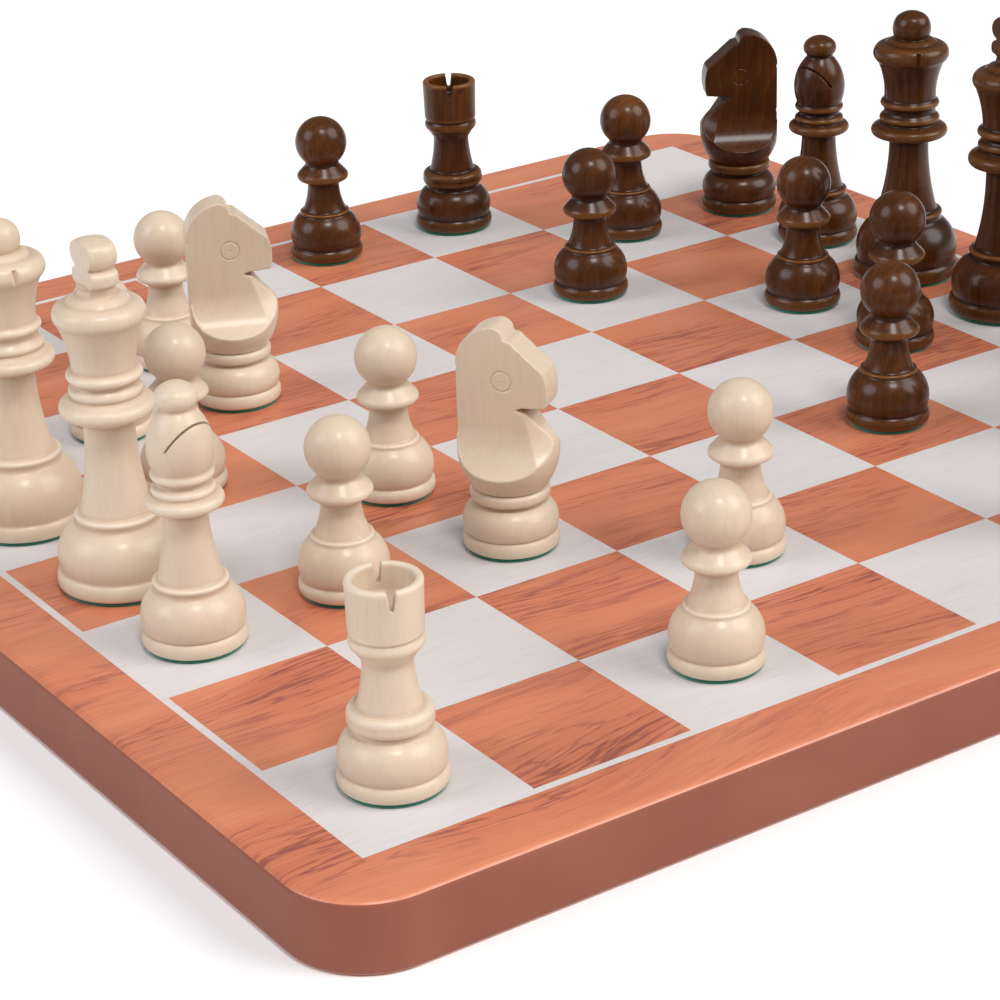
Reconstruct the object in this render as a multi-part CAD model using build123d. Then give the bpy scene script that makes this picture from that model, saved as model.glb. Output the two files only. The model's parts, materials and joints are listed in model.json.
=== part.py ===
"""Chess set with board: a flat 380 mm wooden board and its 32 turned men, set out in an opening position.

Frame: millimetres, +Z up. The origin is the centre of the board's underside. +X runs from the a-file to
the h-file and +Y from the light side's first rank to the eighth.
"""

from build123d import *
import os
from math import atan2, cos, sin

os.makedirs("parts", exist_ok=True)

# Board
SQUARE = 42.5  # side of one square
BORDER = 20.0  # veneer left outside the squares
BOARD_WIDTH = 8 * SQUARE + 2 * BORDER
BOARD_THICKNESS = 18.0
CORNER_RADIUS = 20.0  # corners, seen from above
EDGE_RADIUS = 2.0  # rounded long edges, top and bottom
VENEER = 0.8  # veneer on both faces of the core
PRINT_DEPTH = 0.2  # light print, flush with the lacquer
PRINT_GAP = 0.1  # clearance that keeps the printed squares apart
LINE_WIDTH = 2.0  # light line round the playing area

# Men: radii and heights above the board's top
FELT = 1.0  # thickness of the green felt disc
FELT_INSET = 0.9  # felt disc inside the plinth's radius
PLINTH_RADIUS = {"pawn": 11.4, "rook": 12.3, "knight": 12.2, "bishop": 12.6, "queen": 16.0, "king": 16.0}
BULGE_RADIUS = {"pawn": 11.3, "rook": 12.1, "knight": 12.2, "bishop": 12.6, "queen": 15.4, "king": 15.4}
HEIGHT = {"pawn": 46.1, "rook": 49.3, "knight": 59.5, "bishop": 66.6, "queen": 82.8, "king": 89.4}

CUP_RADIUS = 6.4  # hollow in the rook's tower
CUP_DEPTH = 6.5
NOTCH_DEPTH = 4.5  # tapering nick across the tower's wall
NOTCH_WIDTH = 2.4
SLIT_WIDTH = 0.9  # bishop's saw cut
SLIT_BOTTOM = (2.7, 51.7)  # its end inside the mitre, out from the axis and up
SLIT_SLOPE = 60.0  # degrees that it climbs outwards
SLIT_LENGTH = 14.0
CORONET_NOTCHES = 4
CORONET_NOTCH = 2.4  # square section of the notches, set cornerwise
CORONET_RIM = (11.6, 70.2)  # where a notch meets the rim, out from the axis and up
CORONET_FLARE = -12.0
FINIAL_FOOT = 76.4  # lower end of the flats on the king's finial
FINIAL_SLAB = 7.2  # thickness left between the flats of the king's finial

# Knight's head, measured from its own axis: u forward along the horse, z up
HEAD_SEAT = 16.8  # joint between the turned base and the carved head
HEAD_THICKNESS = 9.0  # between the two flat cheeks
BLANK_RADIUS = 12.9  # widest part of the turned blank
NAPE = -11.7  # straight back of the neck
NAPE_CORNER = (-2.2, 31.0)  # centre of the round corner of the cheek's floor, behind
CHEEK_LOW = 30.5  # where the flat cheek starts to run out
SCOOP_RADIUS = 8.5  # round run-out below the cheeks and the chest facets
RIDGE = (6.2, 31.5)  # a point of the ridge between cheek and chest
RIDGE_LEAN = 20.0  # degrees that the ridge leans back
FACET_ANGLE = 24.0  # degrees that the chest facet turns in towards the breast
MOUTH = 38.3  # the facets stop at the mouth
EYE = (0.2, 45.7)  # engraved ring
EYE_RADIUS = 3.1
EYE_LINE = 0.5
EYE_DEPTH = 0.2
TENON_RADIUS = 4.0
TENON_LENGTH = 7.0
TENON_CLEARANCE = 0.5  # free depth under the tenon

# Men in the order (square, kind, (nudge x, nudge y) off the square's centre, turn in degrees)
LIGHT_MEN = [
    ("a1", "rook", (0.0, 0.0), 0.0),
    ("c1", "bishop", (0.0, 0.0), -60.0),
    ("d1", "queen", (-2.6, -3.5), -6.0),
    ("e1", "king", (1.7, 0.0), 0.0),
    ("f1", "bishop", (0.0, -2.2), 14.0),
    ("h1", "rook", (0.6, -1.1), -21.0),
    ("a2", "pawn", (0.0, 0.0), 0.0),
    ("c2", "pawn", (0.0, 0.0), 0.0),
    ("d2", "pawn", (2.9, -2.2), 0.0),
    ("f2", "pawn", (-1.8, -1.8), 0.0),
    ("b3", "pawn", (5.0, -3.5), 0.0),
    ("c3", "knight", (0.4, -2.6), 66.0),
    ("e3", "pawn", (-2.6, -3.1), 0.0),
    ("f3", "knight", (1.4, 3.0), 36.0),
    ("h3", "pawn", (-0.6, 3.1), 0.0),
    ("g4", "pawn", (-2.2, 2.9), 0.0),
]
DARK_MEN = [
    ("b8", "knight", (0.8, 0.1), 240.0),
    ("c8", "bishop", (-1.3, -0.1), -82.0),
    ("d8", "queen", (-2.0, 0.3), -30.0),
    ("e8", "king", (-1.6, 0.7), 0.0),
    ("f8", "bishop", (0.0, 0.0), 120.0),
    ("g8", "knight", (0.0, 0.0), 250.0),
    ("h8", "rook", (0.0, 0.0), 90.0),
    ("b7", "pawn", (-1.8, -1.8), 0.0),
    ("d7", "pawn", (-1.1, 0.6), 0.0),
    ("e7", "pawn", (-1.3, 0.3), 0.0),
    ("g7", "pawn", (0.0, 0.0), 0.0),
    ("a6", "rook", (-1.7, 1.6), -32.0),
    ("c6", "pawn", (-6.4, -1.3), 0.0),
    ("f6", "pawn", (-0.6, 2.1), 0.0),
    ("h6", "pawn", (0.0, 0.0), 0.0),
    ("a5", "pawn", (-2.6, -4.3), 0.0),
]


def save(shape, node):
    """Write one node's STEP file."""
    export_step(shape, f"parts/{node}.step")


def square_centre(square):
    """Centre of a square such as e4, on the board."""
    column = "abcdefgh".index(square[0])
    row = int(square[1]) - 1
    return (column - 3.5) * SQUARE, (row - 3.5) * SQUARE


# Board ------------------------------------------------------------------------------------------------


def rounded_block(width, radius, bottom, top):
    """A square block with rounded corners, centred on the Z axis."""
    outline = RectangleRounded(width, width, radius)
    return extrude(Plane.XY.offset(bottom) * outline, amount=top - bottom)


def light_squares():
    """The 32 printed squares; a1 is dark and h1 is light."""
    side = SQUARE - 2 * PRINT_GAP
    tiles = []
    for column in range(8):
        for row in range(8):
            if (column + row) % 2:
                x, y = (column - 3.5) * SQUARE, (row - 3.5) * SQUARE
                z = BOARD_THICKNESS - PRINT_DEPTH / 2
                tiles.append(Pos(x, y, z) * Box(side, side, PRINT_DEPTH))
    return tiles


def border_line():
    """The printed line just outside the playing area."""
    inner = 8 * SQUARE
    outer = inner + 2 * LINE_WIDTH
    z = BOARD_THICKNESS - PRINT_DEPTH / 2
    return Pos(0, 0, z) * (Box(outer, outer, PRINT_DEPTH) - Box(inner, inner, PRINT_DEPTH))


def build_board():
    """Core, a veneer on each face, and the light print let into the top veneer."""
    block = rounded_block(BOARD_WIDTH, CORNER_RADIUS, 0, BOARD_THICKNESS)
    rims = block.faces().sort_by(Axis.Z)[0].edges() + block.faces().sort_by(Axis.Z)[-1].edges()
    block = fillet(rims, EDGE_RADIUS)
    reach = BOARD_WIDTH + BORDER
    lower = Pos(0, 0, VENEER / 2) * Box(reach, reach, VENEER)
    upper = Pos(0, 0, BOARD_THICKNESS - VENEER / 2) * Box(reach, reach, VENEER)
    tiles = light_squares()
    line = border_line()
    save(block - lower - upper, "board_core")
    save(block & lower, "bottom_veneer")
    save((block & upper) - line - Compound(tiles), "top_veneer")
    save(Compound(tiles), "light_squares")
    save(line, "border_line")


# Turned men -------------------------------------------------------------------------------------------


def dome_middle(start, top):
    """Middle of the arc, centred on the axis, that runs from a point to the axis at the given height."""
    rise = top - start[1]
    radius = (start[0] ** 2 + rise**2) / (2 * rise)
    half = atan2(start[0], start[1] - top + radius) / 2
    return radius * sin(half), top - radius + radius * cos(half)


def turned(steps, start_height=FELT):
    """A solid turned about Z, from its underside up to the axis.

    Each step is (radius, height) for a straight stretch, (radius, height, radius, height) for an arc
    through its first point that ends at its second, or (height,) for a dome that closes on the axis.
    """
    here = (0.0, start_height)
    edges = []
    for step in steps:
        if len(step) == 1:
            there = (0.0, step[0])
            edges.append(ThreePointArc(here, dome_middle(here, step[0]), there))
        elif len(step) == 2:
            there = step
            edges.append(Line(here, there))
        else:
            there = step[2:]
            edges.append(ThreePointArc(here, step[:2], there))
        here = there
    if here[0] > 0:
        edges.append(Line(here, (0.0, here[1])))
        here = (0.0, here[1])
    edges.append(Line(here, (0.0, start_height)))
    face = Plane.XZ * make_face(edges)
    return revolve(face, Axis.Z)


def foot(kind, groove, shoulder_radius, shoulder_height):
    """Plinth, groove and bulge, which every man has."""
    plinth, bulge = PLINTH_RADIUS[kind], BULGE_RADIUS[kind]
    belly = groove + 0.42 * (shoulder_height - groove)
    return [
        (plinth - 0.7, FELT),
        (plinth - 0.2, FELT + 0.25, plinth, FELT + 0.9),
        (plinth, FELT + 2.4, plinth - 0.5, groove - 0.4),
        (plinth - 1.0, groove),
        (bulge - 0.5, groove + 0.4),
        (bulge - 0.1, belly, shoulder_radius, shoulder_height),
    ]


def felt_disc(kind):
    """Felt under a man, from the board's top up to its plinth."""
    return Pos(0, 0, FELT / 2) * Cylinder(PLINTH_RADIUS[kind] - FELT_INSET, FELT)


def pawn():
    """Ball head on a cone-shaped collar."""
    steps = foot("pawn", 4.7, 7.7, 14.9)
    steps += [(7.9, 15.4, 7.5, 15.9), (6.9, 16.1), (5.7, 19.3, 4.95, 24.6)]  # ledge and stem
    steps += [(6.2, 25.4, 7.8, 26.2), (8.15, 27.2, 7.9, 28.0), (5.35, 30.8)]  # collar
    steps += [(5.3, 31.8), (HEIGHT["pawn"],)]  # neck and ball
    return turned(steps)


def rook():
    """Round tower with a hollow top and a nick across its wall."""
    top = HEIGHT["rook"]
    steps = foot("rook", 4.8, 8.4, 13.8)
    steps += [(8.5, 14.3, 8.0, 14.8), (9.2, 15.3, 9.5, 17.2), (9.2, 18.8, 7.5, 19.4)]  # bead
    steps += [(7.2, 19.6), (6.3, 23.6, 5.6, 29.6), (6.0, 31.2, 6.5, 31.8), (7.2, 33.1)]  # stem
    steps += [(8.3, 34.6, 7.9, 36.2), (7.5, 36.5), (8.2, 36.9)]  # ring under the tower
    steps += [(8.5, top - 0.9), (8.3, top - 0.2, 7.8, top), (CUP_RADIUS + 0.3, top - 0.2)]  # wall
    steps += [(CUP_RADIUS - 0.3, top - CUP_DEPTH + 1.5), (CUP_RADIUS - 2.4, top - CUP_DEPTH)]  # cup
    lip = top + 0.1
    foot_width = NOTCH_WIDTH * 0.4
    corners = [(-NOTCH_WIDTH / 2, lip), (NOTCH_WIDTH / 2, lip)]
    corners += [(foot_width / 2, top - NOTCH_DEPTH), (-foot_width / 2, top - NOTCH_DEPTH)]
    nick = make_face(Polyline(*corners, close=True))
    return turned(steps) - extrude(Plane.YZ * nick, amount=2 * PLINTH_RADIUS["rook"], both=True)


def bishop():
    """Mitre with a slanting saw cut and a bun on top."""
    top = HEIGHT["bishop"]
    steps = foot("bishop", 4.9, 8.9, 14.8)
    steps += [(8.7, 15.6, 9.0, 16.3), (9.2, 16.9, 8.6, 17.4), (7.8, 17.6), (6.3, 24.5, 5.3, 34.6)]  # stem
    steps += [(7.4, 35.5, 9.0, 36.2), (9.5, 37.4, 8.9, 38.6), (7.2, 39.3)]  # collar
    steps += [(7.7, 40.2, 7.2, 41.1), (6.2, 41.7), (6.4, 42.9), (7.6, 43.9, 7.1, 45.0)]  # rings
    steps += [(6.9, 45.3), (7.9, 51.6, 3.9, 60.2), (4.0, 60.6)]  # mitre
    steps += [(5.15, 62.6, 4.2, top - 1.6), (top,)]  # bun
    slit = Pos(SLIT_BOTTOM[0], 0, SLIT_BOTTOM[1]) * Rot(0, -SLIT_SLOPE, 0)
    return turned(steps) - slit * Pos(SLIT_LENGTH / 2, 0, 0) * Box(SLIT_LENGTH, 20, SLIT_WIDTH)


def queen():
    """Coronet with notches in its rim and a ball on top."""
    steps = foot("queen", 5.2, 10.6, 18.0)
    steps += [(10.3, 19.0, 10.6, 19.7), (10.8, 20.3, 10.2, 20.9), (9.1, 21.1)]  # bead
    steps += [(7.2, 29.0, 5.95, 42.8)]  # stem
    steps += [(8.4, 43.9, 10.9, 44.7), (11.6, 46.0, 11.0, 47.4), (8.4, 48.9)]  # collar
    steps += [(9.15, 50.0, 8.4, 51.2), (7.7, 52.1), (7.9, 53.6), (8.95, 54.7, 8.2, 55.8)]  # rings
    steps += [(7.8, 56.3), (8.2, 62.0, 10.0, 67.6), (11.4, 70.2, 9.8, 72.8)]  # coronet
    steps += [(8.2, 73.2), (7.9, 73.0), (6.8, 74.1, 5.0, 74.6)]  # raised disc
    steps += [(5.75, 78.0, 4.6, HEIGHT["queen"] - 1.8), (HEIGHT["queen"],)]  # ball
    solid = turned(steps)
    lean = Pos(CORONET_RIM[0], 0, CORONET_RIM[1]) * Rot(0, -CORONET_FLARE, 0)
    notch = lean * Box(CORONET_NOTCH, CORONET_NOTCH, 2 * CORONET_NOTCH, rotation=(0, 0, 45))
    for index in range(CORONET_NOTCHES):
        solid -= Rot(0, 0, index * 360 / CORONET_NOTCHES) * notch
    return solid


def king():
    """Crown with a raised disc and a turned finial that is sliced flat on two sides."""
    top = HEIGHT["king"]
    steps = foot("king", 5.3, 10.3, 16.9)
    steps += [(10.1, 17.8, 10.4, 18.5), (10.6, 19.1, 10.0, 19.7), (9.0, 19.9)]  # bead
    steps += [(7.4, 27.5, 6.4, 43.4)]  # stem
    steps += [(8.8, 44.6, 11.0, 45.5), (11.8, 47.2, 11.1, 48.8), (8.4, 50.3)]  # collar
    steps += [(9.1, 51.5, 8.4, 52.8), (7.8, 53.6), (8.2, 54.3), (9.4, 55.5, 8.5, 56.7)]  # rings
    steps += [(7.8, 57.1), (8.7, 63.5, 10.4, 68.8), (11.3, 71.4, 9.4, 73.7)]  # crown
    steps += [(8.2, 74.0), (7.9, 73.9), (7.0, 75.0, 4.6, 75.4), (4.4, 76.4)]  # raised disc and neck
    steps += [(5.6, 76.8), (6.1, 78.4, 5.7, 79.9), (4.5, 80.9), (5.2, 82.0)]  # lower half of the finial
    steps += [(5.5, 84.6, 4.3, top - 1.8), (top,)]  # upper half
    solid = turned(steps)
    waste = 10.0  # what is sliced off is thicker than the finial needs
    above_neck = Pos(0, 0, FINIAL_FOOT) * Box(20, waste, 20, align=(Align.CENTER, Align.CENTER, Align.MIN))
    for side in (-1, 1):
        solid -= Pos(0, side * (FINIAL_SLAB + waste) / 2, 0) * above_neck
    return solid


# Knight -----------------------------------------------------------------------------------------------


def knight_base():
    """Turned foot with a ring, bored for the head's tenon."""
    steps = foot("knight", 5.0, 8.9, 12.7)
    steps += [(8.5, 13.1, 8.9, 13.5), (10.0, 14.2, 10.1, 15.2), (10.1, 16.0, 9.4, HEAD_SEAT)]
    depth = TENON_LENGTH + TENON_CLEARANCE
    return turned(steps) - Pos(0, 0, HEAD_SEAT - depth / 2) * Cylinder(TENON_RADIUS, depth)


def horse_outline():
    """The horse's side view, in its own (u, z)."""
    crown = HEIGHT["knight"]
    back = Line((NAPE, HEAD_SEAT), (NAPE, 47.5))
    mane = ThreePointArc((NAPE, 47.5), (-8.9, 56.4), (-2.7, crown))
    ear = ThreePointArc((-2.7, crown), (-0.3, 58.9), (0.8, 56.4))
    face = Polyline((0.8, 56.4), (2.6, 56.0), (6.6, 52.4), (11.0, 48.6))
    muzzle = ThreePointArc((11.0, 48.6), (11.8, 45.2), (11.3, 39.5))
    mouth = Polyline((11.3, 39.5), (4.9, 39.0), (3.2, 38.4), (6.0, 37.6), (9.6, 33.2))
    chest = ThreePointArc((9.6, 33.2), (12.4, 30.0), (13.2, 26.0))
    seat = Polyline((13.2, 26.0), (13.2, HEAD_SEAT), (NAPE, HEAD_SEAT))
    return make_face([back, mane, ear, *face.edges(), muzzle, *mouth.edges(), chest, *seat.edges()])


def scoop(length):
    """Cutter along X: a wall at y = 0 with air beyond it, run out below z = 0 by a round floor."""
    wall = Pos(0, SCOOP_RADIUS, SCOOP_RADIUS) * Box(length, 2 * SCOOP_RADIUS, 2 * SCOOP_RADIUS)
    floor = Pos(0, SCOOP_RADIUS, 0) * Cylinder(SCOOP_RADIUS, length, rotation=(0, 90, 0))
    return wall + floor


def cheek_pocket():
    """What is milled away beside one flat cheek, whose floor turns up towards the nape."""
    reach = 2 * BLANK_RADIUS
    flat = Pos(0, HEAD_THICKNESS / 2, CHEEK_LOW) * scoop(2 * reach)
    above = Pos(0, HEAD_THICKNESS / 2 + reach / 2, CHEEK_LOW + 30) * Box(2 * reach, reach, 60)
    centre = Pos(NAPE_CORNER[0], NAPE_CORNER[1])
    behind = Rectangle(reach, 60, align=(Align.MAX, Align.MIN)) + Circle(-NAPE + NAPE_CORNER[0])
    ahead = Pos(0, -reach / 2) * Rectangle(reach, 60 + reach / 2, align=(Align.MIN, Align.MIN))
    outline = centre * (behind + ahead)
    return (flat + above) & extrude(Plane.XZ * outline, amount=reach, both=True)


def chest_facet():
    """What is planed away beside the chest, from the cheek's front ridge to the narrow breast."""
    ridge = Pos(RIDGE[0], HEAD_THICKNESS / 2, RIDGE[1]) * Rot(0, -RIDGE_LEAN, 0)
    facet = ridge * Rot(0, 0, -FACET_ANGLE) * scoop(2 * BLANK_RADIUS)
    below_mouth = Pos(0, 0, MOUTH - 30) * Box(80, 80, 60)
    return facet & below_mouth


def knight_head():
    """Turned blank cut to the horse's side view, with flat cheeks, chest facets and a tenon below."""
    blank_steps = [(9.2, HEAD_SEAT), (11.9, 21.6, BLANK_RADIUS, 27.0)]
    blank_steps += [(BLANK_RADIUS, HEIGHT["knight"] + 1)]
    blank = turned(blank_steps, HEAD_SEAT)
    head = blank & extrude(Plane.XZ * horse_outline(), amount=20, both=True)
    ring = Cylinder(EYE_RADIUS, 2 * EYE_DEPTH) - Cylinder(EYE_RADIUS - EYE_LINE, 2 * EYE_DEPTH)
    eye = Pos(EYE[0], HEAD_THICKNESS / 2, EYE[1]) * Rot(90, 0, 0) * ring
    for cutter in (cheek_pocket(), chest_facet(), eye):
        head -= cutter
        head -= mirror(cutter, about=Plane.XZ)
    tenon = Pos(0, 0, HEAD_SEAT - TENON_LENGTH / 2) * Cylinder(TENON_RADIUS, TENON_LENGTH)
    return head + tenon


# The set ----------------------------------------------------------------------------------------------


def placed(shape, square, nudge, turn):
    """Stand a man on its square."""
    x, y = square_centre(square)
    return Pos(x + nudge[0], y + nudge[1], BOARD_THICKNESS) * Rot(0, 0, turn) * shape


def build_men():
    """Every man: a pawn is one node, and the others have their felt and carved parts apart."""
    shapes = {
        "pawn": {"": Compound([pawn(), felt_disc("pawn")])},
        "rook": {"": rook(), "_felt": felt_disc("rook")},
        "bishop": {"": bishop(), "_felt": felt_disc("bishop")},
        "queen": {"": queen(), "_felt": felt_disc("queen")},
        "king": {"": king(), "_felt": felt_disc("king")},
        "knight": {"_base": knight_base(), "_head": knight_head(), "_felt": felt_disc("knight")},
    }
    for colour, men in (("light", LIGHT_MEN), ("dark", DARK_MEN)):
        for square, kind, nudge, turn in men:
            for suffix, shape in shapes[kind].items():
                save(placed(shape, square, nudge, turn), f"{colour}_{kind}_{square}{suffix}")


build_board()
build_men()
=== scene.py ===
"""Chess set with board: the finished look of a turned wooden set on a veneered board.

Everything is in metres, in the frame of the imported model: the origin is the centre of the board's
underside, +X runs from the a-file to the h-file, +Y from the light side to the dark side, and +Z is up.
Outlines are given in millimetres above the board's top.
"""

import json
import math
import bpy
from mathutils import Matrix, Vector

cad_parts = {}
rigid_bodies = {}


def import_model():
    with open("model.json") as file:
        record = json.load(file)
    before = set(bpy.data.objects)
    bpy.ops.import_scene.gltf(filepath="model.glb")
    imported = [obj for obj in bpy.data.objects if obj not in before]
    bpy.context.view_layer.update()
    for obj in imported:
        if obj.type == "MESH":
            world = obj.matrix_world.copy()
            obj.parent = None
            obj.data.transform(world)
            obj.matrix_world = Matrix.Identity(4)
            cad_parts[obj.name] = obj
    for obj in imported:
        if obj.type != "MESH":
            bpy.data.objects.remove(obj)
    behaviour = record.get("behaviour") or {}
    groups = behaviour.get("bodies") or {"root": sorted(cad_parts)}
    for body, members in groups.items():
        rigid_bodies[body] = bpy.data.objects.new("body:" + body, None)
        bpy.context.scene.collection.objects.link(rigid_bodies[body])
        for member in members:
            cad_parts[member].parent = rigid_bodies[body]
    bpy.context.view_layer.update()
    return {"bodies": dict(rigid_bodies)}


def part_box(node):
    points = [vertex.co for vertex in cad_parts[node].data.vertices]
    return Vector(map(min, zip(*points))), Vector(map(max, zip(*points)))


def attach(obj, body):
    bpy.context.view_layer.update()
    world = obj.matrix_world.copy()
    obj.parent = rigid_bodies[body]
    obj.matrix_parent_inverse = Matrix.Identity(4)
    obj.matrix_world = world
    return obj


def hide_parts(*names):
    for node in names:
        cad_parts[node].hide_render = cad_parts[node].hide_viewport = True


bl_info = {
    "name": "Turned wooden chess set",
    "version": (1, 0, 0),
    "blender": (4, 5, 0),
    "location": "3D View > Sidebar > Chess Set",
    "description": "Builds a veneered chessboard and its 32 turned men",
    "category": "Add Mesh",
}

import bmesh
import bpy
from mathutils import Matrix, Vector

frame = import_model()

MM = 0.001
BOARD_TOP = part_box("top_veneer")[1][2]
BOARD_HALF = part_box("board_core")[1][0]


# Settings ---------------------------------------------------------------------------------------------


class ChessBoardSettings(bpy.types.PropertyGroup):
    """Sizes of the board."""

    square: bpy.props.FloatProperty(
        name="Square", description="Side of one square", default=0.0425, unit="LENGTH"
    )
    line_width: bpy.props.FloatProperty(
        name="Line width", description="Printed line round the squares", default=0.002, unit="LENGTH"
    )
    corner_radius: bpy.props.FloatProperty(
        name="Corner radius", description="Board corners, from above", default=0.020, unit="LENGTH"
    )
    edge_radius: bpy.props.FloatProperty(
        name="Edge radius", description="Rounding of the long edges", default=0.002, unit="LENGTH"
    )
    veneer: bpy.props.FloatProperty(
        name="Veneer", description="Thickness of the veneer", default=0.0008, unit="LENGTH"
    )
    print_height: bpy.props.FloatProperty(
        name="Print height",
        description="How far the printed squares stand proud",
        default=0.00003,
        precision=6,
        unit="LENGTH",
    )


class ChessMenSettings(bpy.types.PropertyGroup):
    """Sizes that all the men share."""

    segments: bpy.props.IntProperty(
        name="Segments", description="Sides of a turned man", default=80, min=24, max=256
    )
    felt: bpy.props.FloatProperty(
        name="Felt", description="Thickness of the felt disc", default=0.001, unit="LENGTH"
    )
    nick_width: bpy.props.FloatProperty(
        name="Nick width", description="Opening of the rook's nick", default=0.0022, unit="LENGTH"
    )
    slit_width: bpy.props.FloatProperty(
        name="Slit width", description="Width of the bishop's saw cut", default=0.0005, unit="LENGTH"
    )
    finial_slab: bpy.props.FloatProperty(
        name="Finial slab", description="King's finial between its flats", default=0.0072, unit="LENGTH"
    )
    cheek_gap: bpy.props.FloatProperty(
        name="Cheeks", description="Knight's head between its flat cheeks", default=0.009, unit="LENGTH"
    )


class ChessStageSettings(bpy.types.PropertyGroup):
    """Where the camera stands and its lens."""

    azimuth: bpy.props.FloatProperty(
        name="Azimuth", description="Camera's direction", default=math.radians(56.349), subtype="ANGLE"
    )
    elevation: bpy.props.FloatProperty(
        name="Elevation", description="Camera's height", default=math.radians(24.175), subtype="ANGLE"
    )
    roll: bpy.props.FloatProperty(
        name="Roll", description="Camera's tilt", default=math.radians(1.958), subtype="ANGLE"
    )
    distance: bpy.props.FloatProperty(
        name="Distance", description="Camera to target", default=0.7723, unit="LENGTH"
    )
    lens: bpy.props.FloatProperty(name="Lens", description="Focal length in mm", default=106.7)


# Small helpers ----------------------------------------------------------------------------------------


def colour(text):
    """Linear RGBA from an sRGB hex colour."""
    parts = [int(text[i : i + 2], 16) / 255 for i in (1, 3, 5)]
    linear = [c / 12.92 if c <= 0.04045 else ((c + 0.055) / 1.055) ** 2.4 for c in parts]
    return (*linear, 1.0)


def add_node(tree, kind, links=None, **settings):
    """Add a node. Links maps an input's name or number to a value or to another node's socket."""
    node = tree.nodes.new(kind)
    for key, value in settings.items():
        setattr(node, key, value)
    for key, value in (links or {}).items():
        if isinstance(value, bpy.types.NodeSocket):
            tree.links.new(value, node.inputs[key])
        else:
            node.inputs[key].default_value = value
    return node


def ramp(tree, factor, stops):
    """A colour ramp with (position, hex) stops."""
    node = add_node(tree, "ShaderNodeValToRGB", {"Fac": factor})
    elements = node.color_ramp.elements
    while len(elements) < len(stops):
        elements.new(0.5)
    for element, (position, text) in zip(elements, stops):
        element.position = position
        element.color = colour(text)
    return node.outputs["Color"]


def new_material(name, values):
    """A material with only a Principled shader, and constants on that shader's sockets."""
    material = bpy.data.materials.new(name)
    material.use_nodes = True
    tree = material.node_tree
    shader = tree.nodes["Principled BSDF"]
    for socket, value in values.items():
        shader.inputs[socket].default_value = value
    return material, tree, shader


def new_piece(name, mesh, body, nodes, material):
    """A finished piece: rides on its body and stands for CAD nodes."""
    piece = bpy.data.objects.new(name, mesh)
    bpy.context.scene.collection.objects.link(piece)
    mesh.materials.clear()
    mesh.materials.append(material)
    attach(piece, body)
    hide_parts(*nodes)
    return piece


def scratch(name, mesh):
    """A temporary object that holds a mesh while modifiers work on it."""
    holder = bpy.data.objects.new(name, mesh)
    bpy.context.scene.collection.objects.link(holder)
    return holder


def baked(holder):
    """Plain mesh of an object with its modifiers applied; the object is removed."""
    graph = bpy.context.evaluated_depsgraph_get()
    mesh = bpy.data.meshes.new_from_object(
        holder.evaluated_get(graph), preserve_all_data_layers=True, depsgraph=graph
    )
    bpy.data.objects.remove(holder)
    return mesh


def mesh_of(bm, name):
    """Plain mesh of a bmesh, which is freed."""
    mesh = bpy.data.meshes.new(name)
    bm.to_mesh(mesh)
    bm.free()
    return mesh


def boolean(mesh, cutters, operation="DIFFERENCE"):
    """Cut a mesh with other meshes, one after the other."""
    holder = scratch("work", mesh)
    tools = [scratch("cutter", cutter) for cutter in cutters]
    for tool in tools:
        modifier = holder.modifiers.new("cut", "BOOLEAN")
        modifier.operation = operation
        modifier.solver = "EXACT"
        modifier.object = tool
    result = baked(holder)
    for tool in tools:
        bpy.data.objects.remove(tool)
    return result


def prism(points, low, high, axis="Y"):
    """Closed prism of an outline in the XZ plane (axis Y) or the YZ plane (axis X), in metres."""
    bm = bmesh.new()
    rings = []
    for depth in (low, high):
        if axis == "Y":
            ring = [bm.verts.new((a, depth, b)) for a, b in points]
        else:
            ring = [bm.verts.new((depth, a, b)) for a, b in points]
        rings.append(ring)
    bm.faces.new(rings[0])
    bm.faces.new(rings[1][::-1])
    for i in range(len(points)):
        j = (i + 1) % len(points)
        bm.faces.new((rings[0][i], rings[1][i], rings[1][j], rings[0][j]))
    bmesh.ops.recalc_face_normals(bm, faces=bm.faces)
    return mesh_of(bm, "prism")


def block(size, matrix):
    """A box-shaped cutter with sides in mm."""
    bm = bmesh.new()
    sides = [side * MM for side in size]
    bmesh.ops.create_cube(bm, size=1.0, matrix=matrix @ Matrix.Diagonal((*sides, 1.0)))
    return mesh_of(bm, "block")


def shifted(x, y, z):
    """Matrix that moves a shape by millimetres."""
    return Matrix.Translation((x * MM, y * MM, z * MM))


def rotated(degrees, axis):
    """Matrix that turns a shape about an axis."""
    return Matrix.Rotation(math.radians(degrees), 4, axis)


# Outlines ---------------------------------------------------------------------------------------------


def arc(start, middle, end, step=0.35):
    """Points of the arc through three points, without its start, about one step apart."""
    (x0, y0), (x1, y1), (x2, y2) = start, middle, end
    d = 2 * (x0 * (y1 - y2) + x1 * (y2 - y0) + x2 * (y0 - y1))
    s0, s1, s2 = x0 * x0 + y0 * y0, x1 * x1 + y1 * y1, x2 * x2 + y2 * y2
    cx = (s0 * (y1 - y2) + s1 * (y2 - y0) + s2 * (y0 - y1)) / d
    cy = (s0 * (x2 - x1) + s1 * (x0 - x2) + s2 * (x1 - x0)) / d
    radius = math.hypot(x0 - cx, y0 - cy)
    a0, a1, a2 = (math.atan2(y - cy, x - cx) for x, y in (start, middle, end))
    turn = (a2 - a0) % math.tau
    if (a1 - a0) % math.tau > turn:
        turn -= math.tau
    count = max(3, round(abs(turn) * radius / step))
    angles = [a0 + turn * i / count for i in range(1, count + 1)]
    return [(cx + radius * math.cos(a), cy + radius * math.sin(a)) for a in angles]


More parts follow.
